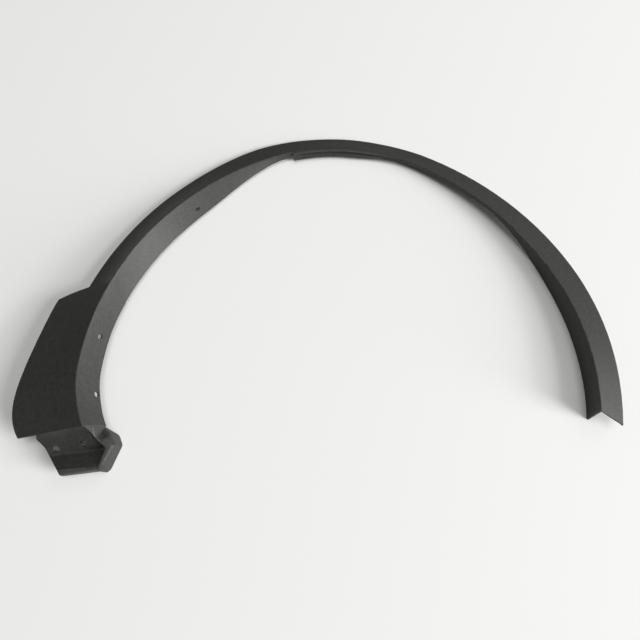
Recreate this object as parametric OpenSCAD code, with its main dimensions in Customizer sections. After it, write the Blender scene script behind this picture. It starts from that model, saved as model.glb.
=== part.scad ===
// Wheel arch trim: one moulded wall, swept along the ridge of the arch, with a lip towards the wheel.
// It lies with its show face up. The bumper end is at +X, the sill end with its foot at -X.

/* [Ridge plan] */
// Radius of the ridge on the leg at the bumper end
bumper_leg_r = 376; // [330:1:420]
// Turn of the ridge on the leg at the bumper end
bumper_leg_turn = 34; // [30:0.1:38]
// Radius of the ridge on the shoulder towards the bumper
bumper_shoulder_r = 469; // [420:1:520]
// Turn of the ridge on the shoulder towards the bumper
bumper_shoulder_turn = 35; // [30:0.5:40]
// Radius of the ridge over the crown
crown_r = 304; // [270:1:340]
// Turn of the ridge over the crown
crown_turn = 51; // [46:0.5:56]
// Radius of the ridge on the shoulder towards the sill
sill_shoulder_r = 414; // [370:1:460]
// Turn of the ridge on the shoulder towards the sill
sill_shoulder_turn = 62.5; // [58:0.5:66]
// Radius of the ridge on the leg at the sill end
sill_leg_r = 195; // [170:1:230]
// Turn of the ridge on the leg at the sill end
sill_leg_turn = 29; // [25:0.5:33]
// How far the ridge draws in towards the wheel along the panel
crease_waist = 2; // [0:0.5:3]
// Direction in which the ridge leaves the bumper end, from +X
end_heading = 83.7; // [78:0.1:89]

/* [Ridge height] */
// Height of the ridge at the bumper end
bumper_end_h = 36; // [28:0.5:44]
// Height of the ridge over the crown
crown_h = 14; // [14:0.5:18]
// Height of the ridge on the sill leg
sill_leg_h = 58; // [50:0.5:66]

/* [Band] */
// Width of the band at the cut bumper end
end_band_w = 37.5; // [30:0.5:42]
// Width of the band on the bumper leg
leg_band_w = 40; // [34:0.5:48]
// Width of the band over the crown
crown_band_w = 26; // [22:0.5:32]
// Width of the band on the shoulder towards the sill
shoulder_band_w = 31; // [26:0.5:38]
// Width of the band where it meets the panel
crease_band_w = 40; // [36:0.5:46]
// Fall of the band from the ridge to its outer edge
band_drop = 11; // [8:0.5:11]
// Fall of the band where it meets the panel
crease_band_drop = 21; // [17:0.5:26]
// How much the band hollows, 0 is flat
band_hollow = 0.15; // [0:0.05:0.5]
// How much the band hollows where it meets the panel
crease_band_hollow = 0.5; // [0:0.05:0.7]
// Slant of the joint line between band and panel
crease_skew = 30; // [20:0.5:34]

/* [Wall] */
// Thickness of the moulded wall
wall = 2.5; // [2:0.1:3.2]
// Depth of the edge that turns down to the body
edge_turn = 3; // [2.5:0.1:3]
// Tangent length of the rounded ridge
ridge_round = 2.2; // [1.5:0.1:3]
// Tangent length of the rounded outer edge
edge_round = 1.2; // [0.8:0.1:1.8]

/* [Lip] */
// Inset of the lip at the bumper end
end_lip_inset = 2.5; // [2:0.5:6]
// Widest inset of the lip on the bumper leg
leg_lip_inset = 4.5; // [4:0.5:8]
// Depth of the short lip under the bumper shoulder
short_lip_drop = 6; // [5:0.5:7]
// Inset of the short lip
short_lip_inset = 1; // [0.5:0.5:2]
// Inset of the lip where the strip of the crown ends
crown_lip_inset = 6; // [4:0.5:8]
// Inset of the broad lip where it leans back most
broad_lip_inset = 30; // [26:0.5:34]
// Inset of the broad lip on the sill leg
sill_lip_inset = 15.5; // [13:0.5:19]
// Depth of the broad lip on the sill leg
sill_lip_drop = 40; // [34:0.5:46]
// How much shallower the broad lip is at the foot
end_lip_rise = 2; // [0:0.5:3]
// Raised step of the lip from the crease to the foot
lip_step = 1.2; // [0.5:0.1:2]
// How far the crease runs along the lip
lip_crease_lead = 17; // [8:1:22]
// How far the foot's end of the lip runs along
end_lip_lead = 4.5; // [2:0.5:6]

/* [Crown strip] */
// Width of the ledge under the ridge
ledge_w = 5; // [3:0.5:7]
// Depth of the strip below the ledge
strip_depth = 5.5; // [4:0.5:6]
// Width of the strip
strip_w = 6.5; // [5:0.5:9]
// Fall of the ledge and of the strip across their width
strip_fall = 0.6; // [0.2:0.1:1]

/* [Bumper end cut] */
// Slant of the cut across the band
cut_slant = 0.34; // [0.2:0.02:0.6]
// Slant of the cut down the lip
cut_lip_slant = 0.3; // [0.1:0.02:0.4]

/* [Panel] */
// Turn of the ridge along the panel
panel_turn = 46.5; // [42:0.5:52]
// Width of the panel along its top edge
panel_top_w = 91; // [84:1:100]
// Slant of the top edge of the panel
panel_top_skew = 35.5; // [30:0.5:38]
// Bow of the top edge of the panel
panel_top_bow = 5.3; // [3:0.1:8]
// Width of the panel along its bottom edge
panel_bottom_w = 105; // [94:1:114]
// Slant of the bottom edge of the panel
panel_bottom_skew = -16.6; // [-22:0.1:-12]
// Straight length of the panel's outer edge below the top corner
panel_edge_lead = 131; // [110:1:150]
// Cant of the outer edge from the ridge
panel_edge_cant = 6.6; // [2:0.1:10]
// Straight length of the panel's outer edge above the bottom corner
panel_corner_lead = 48; // [36:1:60]
// Cant of the outer edge at the bottom corner
panel_corner_cant = 7.2; // [2:0.1:12]
// Height of the panel's outer edge at the top corner
panel_top_h = 23; // [20:0.5:28]
// Height of the panel's outer edge at the bottom corner
panel_bottom_h = 30; // [26:0.5:36]
// Bulge of the panel's outer edge above the line between its corners
panel_edge_bulge = 7.5; // [4:0.5:12]
// How much the panel hollows at its top edge
panel_top_hollow = 0.7; // [0.5:0.05:0.85]
// How much the panel hollows at its bottom edge
panel_bottom_hollow = 0.15; // [0:0.05:0.4]

/* [Foot] */
// Width of the fixing flange under the panel
flange_top_w = 75; // [66:1:84]
// Distance of the flange from the panel's bottom edge
flange_gap = 4.6; // [3:0.1:7]
// Height of the flange at its top edge
flange_top_h = 33; // [29:0.5:36]
// Width of the gutter at its bottom
gutter_w = 64; // [56:1:72]
// Distance of the gutter from the panel's bottom edge
gutter_reach = 32; // [28:0.5:38]
// Height of the gutter's bottom
gutter_h = 18; // [14:0.5:22]
// Width of the rim at its crest
rim_w = 46.5; // [40:0.5:54]
// Distance of the rim's crest from the panel's bottom edge
rim_reach = 54; // [50:0.5:60]
// Height of the rim's crest
rim_h = 32; // [28:0.5:36]
// Round of the rim and the heel
rim_round = 7; // [5:0.5:8]
// How much closer to the panel the gutter and rim lie at their free end
foot_slant = 2.5; // [1.5:0.1:3.5]
// How much lower the rim's crest is at the heel
rim_sag = 2.5; // [1.5:0.1:3.5]
// Height of the rim wall's lower edge at its free end
rim_wall_h = 18; // [12:0.5:20]
// Reach of the heel towards the wheel
heel_reach = 34; // [30:0.5:40]
// Height of the flat top of the heel
heel_h = 31; // [28:0.5:34]

/* [Clip seats and gussets] */
// Length of a clip seat along the ridge
seat_l = 18; // [14:0.5:22]
// Width of a clip seat across the band
seat_w = 13; // [10:0.5:15]
// Depth of the clip seats under the band, from the show side
seat_depth = 10; // [8:0.5:11]
// Depth of the clip seats under the panel, from the show side
panel_seat_depth = 17; // [14:0.5:20]
// Thickness of the seats' walls and of the gussets
rib = 1.6; // [1.2:0.1:2.2]
// Width of the slot that the clip slides into
clip_slot_w = 6; // [5:0.5:8]
// How far the gussets reach down the lip and across the band, as a share of each
gusset_share = 0.45; // [0.3:0.05:0.55]

/* [Screw holes] */
// Diameter of the screw holes in the lip
lip_hole_d = 8; // [5:0.1:9]
// Turn of the ridge from the panel's top edge to the upper lip hole
upper_hole_turn = 11.3; // [9:0.1:14]
// Depth of the upper lip hole, as a share of the lip
upper_hole_share = 0.56; // [0.5:0.01:0.7]
// Turn of the ridge from the panel's top edge to the lower lip hole
lower_hole_turn = 32.3; // [29:0.1:35]
// Depth of the lower lip hole, as a share of the lip
lower_hole_share = 0.84; // [0.6:0.01:0.86]
// Diameter of the screw holes in the flange
flange_hole_d = 10; // [6:0.1:12]
// Distance of the outer flange hole from the ridge, along the panel's bottom edge
outer_hole_out = 51.3; // [46:0.1:55]
// Distance of the outer flange hole from the panel's bottom edge
outer_hole_down = 20.6; // [18:0.1:22]
// Distance of the inner flange hole from the ridge, along the panel's bottom edge
inner_hole_out = 11.8; // [9:0.1:18]
// Distance of the inner flange hole from the panel's bottom edge
inner_hole_down = 19; // [17:0.1:20]
// Width of the slotted hole in the lip
slot_w = 5; // [4:0.1:7]
// Length of the slotted hole in the lip
slot_l = 8; // [7.5:0.1:12]
// Turn of the ridge from the slotted hole to the panel's top edge
slot_turn = 25.7; // [23:0.1:28]
// Depth of the slotted hole, as a share of the lip
slot_share = 0.65; // [0.55:0.01:0.75]

/* [Hidden] */

trim_colour = [0.2, 0.2, 0.2];

arcs = [
    [bumper_leg_r, bumper_leg_turn],
    [bumper_shoulder_r, bumper_shoulder_turn],
    [crown_r, crown_turn],
    [sill_shoulder_r, sill_shoulder_turn],
    [sill_leg_r, sill_leg_turn]
];

// Turns of the ridge, counted from the bumper end, at which the section changes
neck_turn = bumper_leg_turn + bumper_shoulder_turn;
crown_end_turn = neck_turn + crown_turn;
full_turn = crown_end_turn + sill_shoulder_turn + sill_leg_turn;
crown_mid_turn = neck_turn + crown_turn / 2;
crease_turn = full_turn - panel_turn;
// Turns over which the bumper end is level, flares and takes up its cut
level_turn = 5;
flare_turn = 25;
cut_turn = 8;
strip_start_turn = neck_turn - 1;
strip_full_turn = crown_mid_turn - 4;
strip_end_turn = crown_end_turn - 10.5;

function ease(u, from, to) =
    let (t = min(max((u - from) / (to - from), 0), 1))
    t * t * (3 - 2 * t);
function mix(a, b, t) = a + (b - a) * t;
function unit(v) = v / norm(v);
function dir(angle) = [cos(angle), sin(angle)];
function flip(v) = [-v[1], v[0]];

// A point on an arc of radius r after a turn, from p in the direction heading
function arc_end(p, heading, r, turn) =
    p + r * [sin(heading + turn) - sin(heading), cos(heading) - cos(heading + turn)];
function arc_chain(u, k = 0, p = [0, 0], heading = end_heading) =
    (u <= arcs[k][1] || k == len(arcs) - 1)
        ? arc_end(p, heading, arcs[k][0], u)
        : let (r = arcs[k][0], turn = arcs[k][1])
          arc_chain(u - turn, k + 1, arc_end(p, heading, r, turn), heading + turn);
function ridge_at(u) =
    arc_chain(u) - crease_waist * ease(u, crease_turn - 22, crease_turn) * outward(u);
function ridge_run(u, k = 0) =
    (u <= arcs[k][1] || k == len(arcs) - 1)
        ? arcs[k][0] * u * PI / 180
        : arcs[k][0] * arcs[k][1] * PI / 180 + ridge_run(u - arcs[k][1], k + 1);
function along(u) = dir(end_heading + u);
function outward(u) = dir(end_heading + u - 90);

function ridge_h(u) =
    crown_h + (bumper_end_h - crown_h) * ease(u, crown_mid_turn - 6, level_turn)
        + (sill_leg_h - crown_h) * ease(u, crown_end_turn - 10, full_turn - 17);

// Band: width square to the ridge, fall and hollow
function band_w(u) =
    crown_band_w + (leg_band_w - crown_band_w) * ease(u, crown_mid_turn - 8, bumper_leg_turn - 4)
        - (leg_band_w - end_band_w) * pow(1 - min(u / flare_turn, 1), 2)
        + (shoulder_band_w - crown_band_w) * ease(u, crown_mid_turn + 3, crown_end_turn + 2)
        + (crease_band_w - shoulder_band_w) * ease(u, crown_end_turn + 10, crease_turn + 8);
function band_fall(u) = mix(band_drop, crease_band_drop, ease(u, crown_end_turn - 4, crease_turn - 9));
function band_curve(u) = mix(band_hollow, crease_band_hollow, ease(u, crown_end_turn - 10, crease_turn));
function band_edge(u) =
    let (skew = crease_skew * ease(u, crease_turn - 22, crease_turn))
    ridge_at(u) + band_w(u) / cos(skew) * dir(end_heading + u - 90 + skew);

// Panel: its outer edge is a curve between the corners
function panel_share(u) =
    (ridge_run(u) - ridge_run(crease_turn)) / (ridge_run(full_turn) - ridge_run(crease_turn));
panel_top = ridge_at(crease_turn) + panel_top_w * dir(end_heading + crease_turn - 90 + panel_top_skew);
panel_bottom = ridge_at(full_turn) + panel_bottom_w * dir(end_heading + full_turn - 90 + panel_bottom_skew);
panel_lead_1 = panel_top + panel_edge_lead * dir(end_heading + crease_turn + panel_edge_cant);
panel_lead_2 = panel_bottom - panel_corner_lead * dir(end_heading + full_turn + panel_corner_cant);
function panel_edge(v) =
    let (t = pow(v, 1.5), w = 1 - t)
    w * w * w * panel_top + 3 * w * w * t * panel_lead_1 + 3 * w * t * t * panel_lead_2
        + t * t * t * panel_bottom;
function panel_edge_h(v) = mix(panel_top_h, panel_bottom_h, v) + 4 * panel_edge_bulge * v * (1 - v);

// Lip: inset towards the wheel, depth, and how far it runs along the ridge
function lip_inset(u) =
    u < crown_mid_turn
        ? mix(end_lip_inset, leg_lip_inset, ease(u, 0, flare_turn - 7))
            - (leg_lip_inset - short_lip_inset) * ease(u, bumper_leg_turn - 8, bumper_leg_turn + 6)
        : mix(short_lip_inset, crown_lip_inset, ease(u, crown_mid_turn, strip_end_turn))
            + (broad_lip_inset - crown_lip_inset) * ease(u, crown_end_turn - 8, crown_end_turn + 18)
            - (broad_lip_inset - sill_lip_inset) * ease(u, crown_end_turn + 20, crease_turn + 11);
function lip_drop(u) =
    let (short = mix(ridge_h(u), short_lip_drop, ease(u, bumper_leg_turn, bumper_leg_turn + 18)))
    mix(short, sill_lip_drop, ease(u, crown_mid_turn + 9, full_turn - 29))
        - end_lip_rise * ease(u, full_turn - 14, full_turn);
function lip_lead(u) =
    lip_crease_lead * ease(u, crease_turn - 14, crease_turn) * (1 - ease(u, crease_turn, crease_turn + 20))
        + end_lip_lead * ease(u, full_turn - 15, full_turn);
function strip_share(u) =
    u > strip_end_turn ? 0 : ease(u, strip_start_turn, strip_full_turn);

// Section of the wall, in [distance from the ridge, height from the ridge] pairs
band_cols = [0.8, 0.6, 0.4, 0.2];
function hollow_fall(x, hollow) = x * (1 + hollow * (1 - x));
function band_point(x, w, fall, hollow) = [x * w, -fall * hollow_fall(x, hollow)];
function lip_points(u, raise) =
    let (inset = lip_inset(u), drop = lip_drop(u), s = strip_share(u), n = raise * unit([-drop, inset]),
         straight = [for (q = [1/3, 2/3, 1]) [-inset, -drop] * q + n],
         step_foot = [-ledge_w, -strip_depth] - strip_fall * [1, 1],
         strip = [[-ledge_w, -strip_fall], step_foot, step_foot - [strip_w, strip_fall]])
    [for (k = [0 : 2]) mix(straight[k], strip[k], s)];
function curve3(a, corner, b, t) = (1 - t) * (1 - t) * a + 2 * t * (1 - t) * corner + t * t * b;
function rounded(a, corner, b, reach, count) =
    let (p = corner + reach * unit(a - corner), q = corner + reach * unit(b - corner))
    [for (k = [0 : count - 1]) curve3(p, corner, q, k / (count - 1))];
function side(a, b) = flip(unit(b - a));
function mitre(a, p, b) =
    let (m = side(a, p), n = side(p, b))
    p + wall * (m + n) / (1 + m * n);

function section_line(u, w, fall, hollow, raise) =
    concat([band_point(1, w, fall, hollow)],
           [for (x = band_cols) band_point(x, w, fall, hollow)],
           [[0, 0]],
           lip_points(u, raise));
function outer_line(l) =
    concat([l[0] - [0, edge_turn]],
           rounded(l[0] - [0, edge_turn], l[0], l[1], edge_round, 3),
           [for (k = [1 : 4]) l[k]],
           rounded(l[4], l[5], l[6], min(ridge_round, norm(l[6] - l[5]) * 0.6), 4),
           [for (k = [6 : 8]) l[k]]);
function inner_line(l) =
    let (edge = [l[0][0] - wall, mitre(l[0] - [0, edge_turn], l[0], l[1])[1]],
         corner = mitre(l[4], l[5], l[6]),
         first = mitre(l[3], l[4], l[5]),
         next = mitre(l[5], l[6], l[7]))
    concat([[l[0][0] - wall, l[0][1] - edge_turn]],
           rounded([edge[0], l[0][1] - edge_turn], edge, mitre(l[0], l[1], l[2]), 0.16 * wall, 3),
           [for (k = [1 : 4]) mitre(l[k - 1], l[k], l[k + 1])],
           rounded(first, corner, next, 0.24 * wall, 4),
           [next, mitre(l[6], l[7], l[8]), l[8] + wall * side(l[7], l[8])]);

// A section point in space: band points run towards the edge, lip points square to the ridge
function place_band(u, edge, bow, p) =
    let (r = ridge_at(u), d = unit(edge - r), x = p[0] / norm(edge - r),
         cut = cut_slant * p[0] - cut_lip_slant * p[1], back = cut * (1 - ease(u, 0, cut_turn)),
         q = r + p[0] * d - 4 * bow * x * (1 - x) * flip(d) - back * along(u))
    [q[0], q[1], ridge_h(u) + p[1]];
function place_lip(u, p) =
    let (q = min(max(-p[1] / lip_drop(u), 0), 1),
         cut = cut_slant * p[0] - cut_lip_slant * p[1], back = cut * (1 - ease(u, 0, cut_turn)),
         r = ridge_at(u) + p[0] * outward(u) + (lip_lead(u) * q - back) * along(u))
    [r[0], r[1], ridge_h(u) + p[1]];
function place(u, edge, bow, line) =
    [for (k = [0 : len(line) - 1]) k < 10 ? place_band(u, edge, bow, line[k]) : place_lip(u, line[k])];

// One ring of the sweep: the show side, then the hidden side
function band_ring(u) =
    let (edge = band_edge(u), w = norm(edge - ridge_at(u)),
         l = section_line(u, w, band_fall(u), band_curve(u), 0))
    [place(u, edge, 0, outer_line(l)), place(u, edge, 0, inner_line(l))];
function panel_ring(u) =
    let (v = panel_share(u), edge = panel_edge(v), w = norm(edge - ridge_at(u)),
         hollow = mix(panel_top_hollow, panel_bottom_hollow, ease(v, 0, 0.5)),
         bow = panel_top_bow * pow(1 - v, 3),
         l = section_line(u, w, ridge_h(u) - panel_edge_h(v), hollow, lip_step))
    [place(u, edge, bow, outer_line(l)), place(u, edge, bow, inner_line(l))];

function spread(a, b, count) = [for (k = [0 : count]) mix(a, b, k / count)];
seam = 0.15;
rings = concat([for (u = spread(0, strip_end_turn - seam, 46)) band_ring(u)],
               [for (u = spread(strip_end_turn + seam, crease_turn, 24)) band_ring(u)],
               [for (u = spread(crease_turn + seam, full_turn, 18)) panel_ring(u)]);

// Foot: its own axes run outward along the panel's bottom edge and down away from it
foot_angle = end_heading + full_turn - 90 + panel_bottom_skew;
function lay(row) =
    [for (p = row)
        let (q = arc_chain(full_turn) + p[0] * dir(foot_angle) + p[1] * dir(foot_angle + 90))
        [q[0], q[1], p[2]]];
sunk = 1;
// Top row of the foot, sunk in the wall of the arch
function join_row(u) =
    let (edge = panel_edge(panel_share(u)), w = norm(edge - ridge_at(u)),
         fall = ridge_h(u) - panel_edge_h(1),
         l = [-lip_inset(u), -lip_drop(u)], n = (lip_step - sunk) * unit([l[1], -l[0]]))
    concat([for (x = [flange_top_w / panel_bottom_w, 0.48, 0.24, 0.03])
               place_band(u, edge, 0, band_point(x, w, fall, panel_bottom_hollow) - [0, sunk])],
           [for (q = [0.04, 0.4, 0.58, 0.78, 0.92, 1]) place_lip(u, l * q + n)]);
// The heel's points are shares of its own reach, of the foot's depth and of its height
function heel(shares) =
    [for (p = shares) [-p[0] * heel_reach, p[1] * rim_reach, p[2] * heel_h]];
tip = [0.27, 0.3, 1.16];
lip_foot = [0.51, 0.01, 0.63];
flange_row = concat(
    spread([flange_top_w, flange_gap, flange_top_h],
           [-0.2 * heel_reach, flange_gap + 0.08 * rim_reach, flange_top_h + 0.1 * heel_h], 3),
    heel([for (t = [0, 0.35, 0.7, 0.9, 1]) mix(tip, lip_foot, t)]));
slope_row = concat(
    spread([flange_top_w - 0.13 * gutter_w, mix(flange_gap, gutter_reach, 0.45),
            mix(flange_top_h, gutter_h, 0.45)],
           [-0.38 * heel_reach, 0.43 * rim_reach, mix(flange_top_h, gutter_h, 0.4)], 3),
    heel([[0.43, 0.435, 1.1], [0.59, 0.36, 1.06], [0.735, 0.29, 1],
          [0.83, 0.255, 0.84], [0.87, 0.24, 0]]));
gutter_row = concat(
    spread([gutter_w, gutter_reach - foot_slant, gutter_h],
           [-0.545 * heel_reach, gutter_reach - 0.6 * foot_slant, gutter_h], 3),
    heel([[0.59, 0.575, 1.03], [0.75, 0.565, 1.01], [0.91, 0.555, 0.97],
          [0.985, 0.54, 0.8], [1, 0.52, 0]]));
crest_row = concat(
    spread([rim_w, rim_reach - 0.8 * foot_slant, rim_h],
           [-0.235 * heel_reach, rim_reach + 0.72 * foot_slant, rim_h - rim_sag], 3),
    heel([[0.265, 1.03, 0.97], [0.34, 1.02, 0.97], [0.43, 1.005, 0.92],
          [0.485, 1.035, 0.75], [0.5, 1.075, 0]]));
rim_row = concat(
    spread([rim_w, rim_reach + rim_round - 0.8 * foot_slant, rim_h - rim_round],
           [-0.12 * heel_reach, rim_reach + rim_round - 0.6 * foot_slant,
            rim_h - rim_round - 0.4 * rim_sag], 3),
    heel([[0.22, 1.14, 0.77], [0.27, 1.12, 0.74], [0.33, 1.1, 0.7],
          [0.41, 1.1, 0.5], [0.455, 1.11, 0]]));
wall_row = concat(
    spread([rim_w, rim_reach + rim_round - 0.4 * foot_slant, rim_h - rim_wall_h],
           [-0.15 * heel_reach, rim_reach + rim_round, 0.02 * heel_h], 3),
    heel([[0.26, 1.175, 0], [0.3, 1.17, 0], [0.34, 1.16, 0], [0.38, 1.145, 0], [0.41, 1.135, 0]]));
// A point halfway up the step between the flange and the heel
function with_step(row) =
    [for (k = [0 : len(row) - 1]) each k == 3 ? [row[3], mix(row[3], row[4], 0.5)] : [row[k]]];
free_rows = [flange_row, slope_row, gutter_row, crest_row, rim_row, wall_row];
foot_rows = concat([join_row(full_turn - 0.6), join_row(full_turn)],
                   [for (row = free_rows) lay(with_step(row))]);

function facing(g, i, j) =
    unit(cross(g[i + 1][j + 1] - g[i][j], g[i][j + 1] - g[i + 1][j]));
function sum(l, k = 0) = k == len(l) - 1 ? l[k] : l[k] + sum(l, k + 1);
function inner_point(g, i, j) =
    let (rows = [max(i - 1, 0) : min(i, len(g) - 2)],
         cols = [max(j - 1, 0) : min(j, len(g[0]) - 2)],
         ns = [for (a = rows, b = cols) facing(g, a, b)],
         s = sum(ns) / len(ns))
    g[i][j] - wall * s / max(s * s, 0.5);
function inner_grid(g) =
    [for (i = [0 : len(g) - 1]) [for (j = [0 : len(g[0]) - 1]) inner_point(g, i, j)]];
function round_line(l, reach) =
    concat([l[0]],
           [for (k = [1 : len(l) - 2])
               let (r = min(reach, 0.45 * norm(l[k - 1] - l[k]), 0.45 * norm(l[k + 1] - l[k])))
               each rounded(l[k - 1], l[k], l[k + 1], r, 3)],
           [l[len(l) - 1]]);
function turned(g) = [for (j = [0 : len(g[0]) - 1]) [for (i = [0 : len(g) - 1]) g[i][j]]];
function rounded_grid(g, reach) =
    [for (line = turned([for (row = g) round_line(row, reach)])) round_line(line, reach)];
foot_show = rounded_grid(foot_rows, wall);
foot_hidden = rounded_grid(inner_grid(foot_rows), 0.6 * wall);
foot_rings = [for (k = [len(foot_show) - 1 : -1 : 0]) [foot_show[k], foot_hidden[k]]];

// A closed shell over rings of a show side and a hidden side
module shell(rings) {
    polyhedron(points = [for (r = rings) for (face = r) each face],
               faces = shell_faces(len(rings), len(rings[0][0])), convexity = 10);
}
function quad(a, b, c, d) = [[a, b, c], [a, c, d]];
function shell_faces(count, cols) =
    let (step = 2 * cols, last = (count - 1) * step)
    concat([for (i = [0 : count - 2], j = [0 : cols - 2])
                let (a = i * step + j)
                each quad(a, a + 1, a + step + 1, a + step)],
           [for (i = [0 : count - 2], j = [0 : cols - 2])
                let (a = i * step + cols + j)
                each quad(a, a + step, a + step + 1, a + 1)],
           [for (i = [0 : count - 2])
                let (a = i * step, b = a + cols)
                each quad(a, a + step, b + step, b)],
           [for (i = [0 : count - 2])
                let (a = i * step + cols - 1, b = a + cols)
                each quad(a, b, b + step, a + step)],
           [for (j = [0 : cols - 2]) each quad(j, j + cols, j + cols + 1, j + 1)],
           [for (j = [last : last + cols - 2]) each quad(j, j + 1, j + cols + 1, j + cols)]);

// A hole square to the wall at p, along the direction n
module drill(p, n, d, depth) {
    translate(p)
        rotate([0, acos(n[2] / norm(n)), atan2(n[1], n[0])])
            cylinder(d = d, h = depth, center = true, $fn = 48);
}
function lip_normal(u) =
    let (s = unit([-lip_drop(u), lip_inset(u)]))
    [s[0] * outward(u)[0], s[0] * outward(u)[1], s[1]];

module lip_drill(u, q, d, shift = 0) {
    p = place_lip(u, -[lip_inset(u), lip_drop(u)] * q);
    drill(p + shift * [along(u)[0], along(u)[1], 0], lip_normal(u), d, 5 * wall);
}
// A flange hole is square to the flange where it stands
module flange_drill(out, down) {
    t = (down - flange_gap) / (gutter_reach - flange_gap);
    share = (flange_top_w - out) / (flange_top_w + 0.2 * heel_reach);
    upper = mix(foot_rows[2][0], foot_rows[2][3], share);
    lower = mix(foot_rows[4][0], foot_rows[4][3], share);
    h = mix(upper[2], lower[2], t) - wall / 2;
    n = cross(lower - upper, foot_rows[3][3] - foot_rows[3][0]);
    drill(lay([[out, down, h]])[0], n, flange_hole_d, 5 * wall);
}

// A point of the show side, x is its share of the band or panel from the ridge to the edge
function show_point(u, x) =
    let (on_panel = u > crease_turn, v = panel_share(u), edge = on_panel ? panel_edge(v) : band_edge(u),
         fall = on_panel ? ridge_h(u) - panel_edge_h(v) : band_fall(u),
         hollow = on_panel ? mix(panel_top_hollow, panel_bottom_hollow, ease(v, 0, 0.5)) : band_curve(u),
         bow = on_panel ? panel_top_bow * pow(1 - v, 3) : 0)
    place_band(u, edge, bow, band_point(x, norm(edge - ridge_at(u)), fall, hollow));
// Seat for a clip: three walls and a slotted floor, open towards the outer edge
module clip_seat(u, x, depth) {
    p = show_point(u, x);
    t = unit(show_point(u + 1, x) - show_point(u - 1, x));
    n = unit(cross(t, show_point(u, x - 0.1) - show_point(u, x + 0.1)));
    c = cross(n, t);
    multmatrix([[t[0], c[0], n[0], p[0]], [t[1], c[1], n[1], p[1]], [t[2], c[2], n[2], p[2]]])
        difference() {
            translate([-seat_l / 2, -seat_w / 2, -depth])
                cube([seat_l, seat_w, depth - wall / 2]);
            translate([rib - seat_l / 2, -seat_w / 2 - 1, rib - depth])
                cube([seat_l - 2 * rib, seat_w - rib + 1, depth]);
            translate([-clip_slot_w / 2, -seat_w / 2 - 1, -depth - 1])
                cube([clip_slot_w, seat_w / 2 + 1, rib + 2]);
            translate([0, 0, -depth - 1])
                cylinder(d = clip_slot_w, h = rib + 2, $fn = 24);
        }
}
// Gusset in the corner between lip and band
module gusset(u) {
    l = [-lip_inset(u), -lip_drop(u)];
    on_panel = u > crease_turn;
    out = show_point(u, on_panel ? gusset_share / 2 : gusset_share);
    c = [norm([out[0], out[1]] - ridge_at(u)), out[2] - ridge_h(u)];
    into = wall / 2 * unit([-l[1], l[0]]);
    r = ridge_at(u);
    o = outward(u);
    a = along(u);
    multmatrix([[o[0], 0, -a[0], r[0]], [o[1], 0, -a[1], r[1]], [0, 1, 0, ridge_h(u)]])
        translate([0, 0, -rib / 2])
            linear_extrude(rib)
                polygon([[0.12 * wall, -wall / 2], gusset_share * l + into, c - [0, wall / 2]]);
}

// Places of the clip seats and gussets, as turns of the ridge
band_seats = [bumper_leg_turn - 22, bumper_leg_turn + 9, crease_turn - 27, crease_turn - 10];
panel_seats = [[12, 0.5], [33, 0.5], [33, 0.8]];
gussets = concat([for (turn = [-28, -12, 2]) bumper_leg_turn + turn],
                 [for (turn = [-18, -4, 5, 22, 42]) crease_turn + turn]);

// The origin is under the middle of the trim, at the height it rests on
all_points = [for (r = concat(rings, foot_rings)) for (face = r) each face];
low = [for (k = [0 : 2]) min([for (p = all_points) p[k]])];
high = [for (k = [0 : 2]) max([for (p = all_points) p[k]])];

module arch_trim() {
    color(trim_colour)
        translate([-(low[0] + high[0]) / 2, -(low[1] + high[1]) / 2, -low[2]])
            difference() {
                union() {
                    shell(rings);
                    shell(foot_rings);
                    for (u = band_seats)
                        clip_seat(u, 0.52, seat_depth);
                    for (seat = panel_seats)
                        clip_seat(crease_turn + seat[0], seat[1], panel_seat_depth);
                    for (u = gussets)
                        gusset(u);
                }
                lip_drill(crease_turn + upper_hole_turn, upper_hole_share, lip_hole_d);
                lip_drill(crease_turn + lower_hole_turn, lower_hole_share, lip_hole_d);
                for (end = [-1, 1])
                    lip_drill(crease_turn - slot_turn, slot_share, slot_w, end * (slot_l - slot_w) / 2);
                flange_drill(outer_hole_out, outer_hole_down);
                flange_drill(inner_hole_out, inner_hole_down);
            }
}

arch_trim();
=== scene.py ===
import bpy, bmesh, math
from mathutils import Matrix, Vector


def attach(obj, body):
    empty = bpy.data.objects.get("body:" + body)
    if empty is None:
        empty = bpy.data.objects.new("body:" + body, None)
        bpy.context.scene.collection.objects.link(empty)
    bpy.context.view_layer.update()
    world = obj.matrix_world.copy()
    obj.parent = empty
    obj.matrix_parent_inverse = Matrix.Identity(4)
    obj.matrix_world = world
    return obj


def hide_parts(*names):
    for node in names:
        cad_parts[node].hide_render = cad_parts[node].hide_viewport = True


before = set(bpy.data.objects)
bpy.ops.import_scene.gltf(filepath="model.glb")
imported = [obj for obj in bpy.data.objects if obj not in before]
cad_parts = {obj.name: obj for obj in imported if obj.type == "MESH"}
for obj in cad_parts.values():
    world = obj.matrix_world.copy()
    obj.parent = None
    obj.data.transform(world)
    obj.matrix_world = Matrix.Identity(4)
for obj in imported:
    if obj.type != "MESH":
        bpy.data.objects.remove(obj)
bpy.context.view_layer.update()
print("frame loaded")


def newMaterial(name):
    material = bpy.data.materials.new(name)
    material.use_nodes = True
    material.node_tree.nodes.clear()
    return material, material.node_tree


def addNode(tree, kind, **values):
    node = tree.nodes.new(kind)
    for key, value in values.items():
        if hasattr(node, key):
            setattr(node, key, value)
        else:
            node.inputs[key.replace("_", " ")].default_value = value
    return node


def addRange(tree, source, start="From", span=(0, 1)):
    node = addNode(tree, "ShaderNodeMapRange")
    node.inputs[start + " Min"].default_value, node.inputs[start + " Max"].default_value = span
    tree.links.new(source, node.inputs["Value"])
    return node.outputs["Result"]


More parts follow.
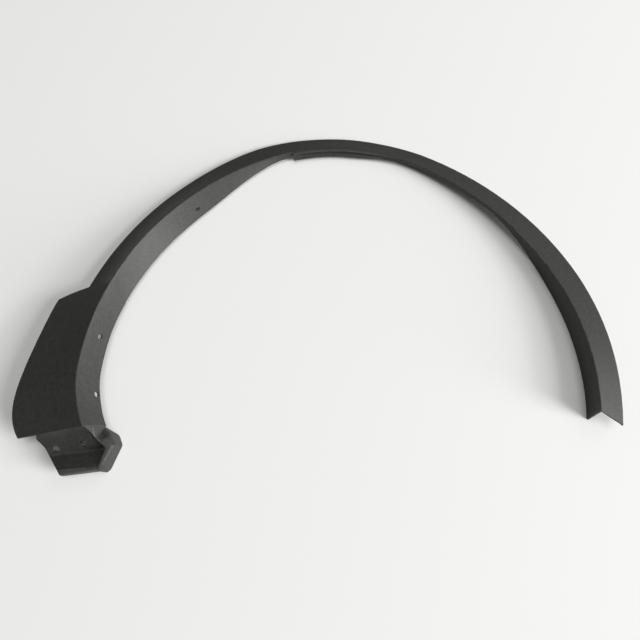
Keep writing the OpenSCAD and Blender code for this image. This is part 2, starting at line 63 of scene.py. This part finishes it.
def addBump(tree, height, strength, distance):
    node = addNode(tree, "ShaderNodeBump", Strength=strength, Distance=distance)
    tree.links.new(height, node.inputs["Height"])
    return node


plastic = {
    "colour": (0.0188, 0.0194, 0.017, 1),
    "paleColour": (0.0365, 0.0372, 0.0335, 1),
    "edgeWearAndHighlightColour": (0.12, 0.12, 0.117, 1),  # rubbed where the grain is worn off the edges, and painted lighter there as a highlight along the edges
    "roughness": (0.5, 0.62),
    "edgeRoughness": 0.42,
    "grainSize": 0.0009,  # width of one grain, in metres
    "poreSize": 0.002,
    "fleckSize": 0.005,  # width of the paler flecks
    "fleckRange": (0.35, 0.7),  # part of the noise that turns from dark to pale
    "edgePatchSize": 0.012,  # length of the patches along an edge that are painted lighter, as rubbing and as painted highlight
    "edgePatchRange": (0.3, 0.65),
    "grainBump": (0.6, 0.00014),  # strength, and height in metres
    "poreBump": (0.4, 0.0002),
}


def grainedPlastic():
    material, tree = newMaterial("grainedBlackPlastic")
    link = tree.links.new
    place = addNode(tree, "ShaderNodeTexCoord")
    grain = addNode(tree, "ShaderNodeTexVoronoi", feature="SMOOTH_F1", Scale=1 / plastic["grainSize"])
    pores = addNode(tree, "ShaderNodeTexNoise", Scale=1 / plastic["poreSize"], Detail=3.0)
    flecks = addNode(tree, "ShaderNodeTexNoise", Scale=1 / plastic["fleckSize"], Detail=6.0, Roughness=0.72)
    edgePatches = addNode(tree, "ShaderNodeTexNoise", Scale=1 / plastic["edgePatchSize"], Detail=2.0)
    for texture in (grain, pores, flecks, edgePatches):
        link(place.outputs["Object"], texture.inputs["Vector"])
    tint = addNode(tree, "ShaderNodeMix", data_type="RGBA")
    tint.inputs[6].default_value = plastic["colour"]
    tint.inputs[7].default_value = plastic["paleColour"]
    link(addRange(tree, flecks.outputs["Fac"], span=plastic["fleckRange"]), tint.inputs["Factor"])
    # rounded edges are painted lighter: partly rubbed wear, partly a painted highlight along the edges
    edge = addNode(tree, "ShaderNodeAttribute", attribute_name="edgeWearAndHighlight")
    wearAndHighlight = addNode(tree, "ShaderNodeMath", operation="MULTIPLY")
    link(edge.outputs["Fac"], wearAndHighlight.inputs[0])
    link(addRange(tree, edgePatches.outputs["Fac"], span=plastic["edgePatchRange"]), wearAndHighlight.inputs[1])
    wornAndHighlighted = addNode(tree, "ShaderNodeMix", data_type="RGBA")
    wornAndHighlighted.inputs[7].default_value = plastic["edgeWearAndHighlightColour"]
    link(wearAndHighlight.outputs["Value"], wornAndHighlighted.inputs["Factor"])
    link(tint.outputs[2], wornAndHighlighted.inputs[6])
    gloss = addNode(tree, "ShaderNodeMix", data_type="FLOAT")
    gloss.inputs[3].default_value = plastic["edgeRoughness"]
    link(wearAndHighlight.outputs["Value"], gloss.inputs["Factor"])
    link(addRange(tree, pores.outputs["Fac"], "To", plastic["roughness"]), gloss.inputs[2])
    fine = addBump(tree, grain.outputs["Distance"], *plastic["grainBump"])
    broad = addBump(tree, pores.outputs["Fac"], *plastic["poreBump"])
    link(fine.outputs["Normal"], broad.inputs["Normal"])
    shader = addNode(tree, "ShaderNodeBsdfPrincipled")
    link(wornAndHighlighted.outputs[2], shader.inputs["Base Color"])
    link(gloss.outputs["Result"], shader.inputs["Roughness"])
    link(broad.outputs["Normal"], shader.inputs["Normal"])
    out = addNode(tree, "ShaderNodeOutputMaterial")
    link(shader.outputs["BSDF"], out.inputs["Surface"])
    return material


trim = {
    "weld": 0.00002,
    "flatAngle": 0.4,  # degrees between faces that are joined into one
    "creaseAngle": 60,  # degrees up to which shading runs over an edge
    "sharpAngle": 32,  # degrees from which a convex edge is rounded
    "shortEdge": 0.0007,  # edges that meet a shorter one stay as they are
    "edgeRound": 0.00025,
}


def smoothOver(edge, angle):
    return edge.is_manifold and edge.calc_face_angle(0) < math.radians(angle)


def makeTrim(material):
    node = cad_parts["arch_trim"]
    mesh = bpy.data.meshes.new("archTrimShell")
    bm = bmesh.new()
    bm.from_mesh(node.data)
    bmesh.ops.remove_doubles(bm, verts=bm.verts, dist=trim["weld"])
    bmesh.ops.dissolve_degenerate(bm, edges=bm.edges, dist=trim["weld"])
    bmesh.ops.dissolve_limit(bm, angle_limit=math.radians(trim["flatAngle"]), verts=bm.verts, edges=bm.edges)
    crowded = {vert for edge in bm.edges if edge.calc_length() < trim["shortEdge"] for vert in edge.verts}
    crisp = [
        edge for edge in bm.edges
        if edge.is_convex and not smoothOver(edge, trim["sharpAngle"])
        and not crowded.intersection(edge.verts)]
    # rounded edge faces get the lighter edge colour: rubbed wear and painted highlight
    wearAndHighlight = bm.faces.layers.float.new("edgeWearAndHighlight")
    rounded = bmesh.ops.bevel(
        bm, geom=crisp, offset=trim["edgeRound"], offset_type="OFFSET", affect="EDGES",
        segments=2, profile=0.5, material=-1, clamp_overlap=False)
    for face in rounded["faces"]:
        face[wearAndHighlight] = 1.0
    for face in bm.faces:
        face.smooth = True
    for edge in bm.edges:
        edge.smooth = smoothOver(edge, trim["creaseAngle"])
    bm.to_mesh(mesh)
    bm.free()
    piece = bpy.data.objects.new("archTrimShell", mesh)
    bpy.context.scene.collection.objects.link(piece)
    mesh.materials.append(material)
    even = piece.modifiers.new("evenNormals", "WEIGHTED_NORMAL")  # broad faces look flat beside their edges
    even.mode = "FACE_AREA"
    even.weight = 50
    even.keep_sharp = True
    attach(piece, "root")
    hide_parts("arch_trim")
    return piece


makeTrim(grainedPlastic())
print("trim made")

floor = {
    "size": 16.0,
    "colour": (0.87, 0.866, 0.852, 1),
}


def makeFloor():
    bm = bmesh.new()
    bmesh.ops.create_grid(bm, x_segments=1, y_segments=1, size=floor["size"] / 2)
    mesh = bpy.data.meshes.new("studioFloor")
    bm.to_mesh(mesh)
    bm.free()
    sheet = bpy.data.objects.new("studioFloor", mesh)
    bpy.context.scene.collection.objects.link(sheet)
    material, tree = newMaterial("paleFloor")
    shader = addNode(tree, "ShaderNodeBsdfPrincipled", Roughness=0.8)
    shader.inputs["Base Color"].default_value = floor["colour"]
    out = addNode(tree, "ShaderNodeOutputMaterial")
    tree.links.new(shader.outputs["BSDF"], out.inputs["Surface"])
    mesh.materials.append(material)


makeFloor()

lamps = {
    "key": {"azimuth": -20, "elevation": 30, "distance": 13.0, "size": 6.0, "power": 1200},
    "low": {"azimuth": -20, "elevation": 14, "distance": 13.0, "size": 5.0, "power": 1330},
    "side": {"azimuth": 50, "elevation": 40, "distance": 13.0, "size": 6.0, "power": 140},
    "top": {"azimuth": 0, "elevation": 80, "distance": 13.0, "size": 8.0, "power": 600},
    "world": 0.105,
}


def addLamp(name, azimuth, elevation, distance, size, power):
    light = bpy.data.lights.new(name, "AREA")
    light.shape = "SQUARE"
    light.size = size
    light.energy = power
    lamp = bpy.data.objects.new(name, light)
    turn, rise = math.radians(azimuth), math.radians(elevation)
    towards = Vector((math.cos(rise) * math.cos(turn), math.cos(rise) * math.sin(turn), math.sin(rise)))
    lamp.location = towards * distance
    lamp.rotation_euler = towards.to_track_quat("Z", "Y").to_euler()
    bpy.context.scene.collection.objects.link(lamp)


for name in ("key", "low", "side", "top"):
    addLamp(name + "Lamp", **lamps[name])

world = bpy.data.worlds.new("studioWorld")
world.use_nodes = True
world.node_tree.nodes["Background"].inputs["Color"].default_value = (1, 1, 1, 1)
world.node_tree.nodes["Background"].inputs["Strength"].default_value = lamps["world"]
bpy.context.scene.world = world
bpy.context.scene.view_settings.view_transform = "Standard"

camera = {
    "place": (-0.00022, -0.26506, 0.76034),
    "tilt": 16,  # degrees forward of straight down
    "lens": 28.125,
}
cameraData = bpy.data.cameras.new("photoCamera")
cameraData.sensor_width = 36
cameraData.lens = camera["lens"]
cameraObject = bpy.data.objects.new("photoCamera", cameraData)
cameraObject.location = camera["place"]
cameraObject.rotation_euler = (math.radians(camera["tilt"]), 0, 0)
bpy.context.scene.collection.objects.link(cameraObject)
bpy.context.scene.camera = cameraObject
print("camera and lamps placed")
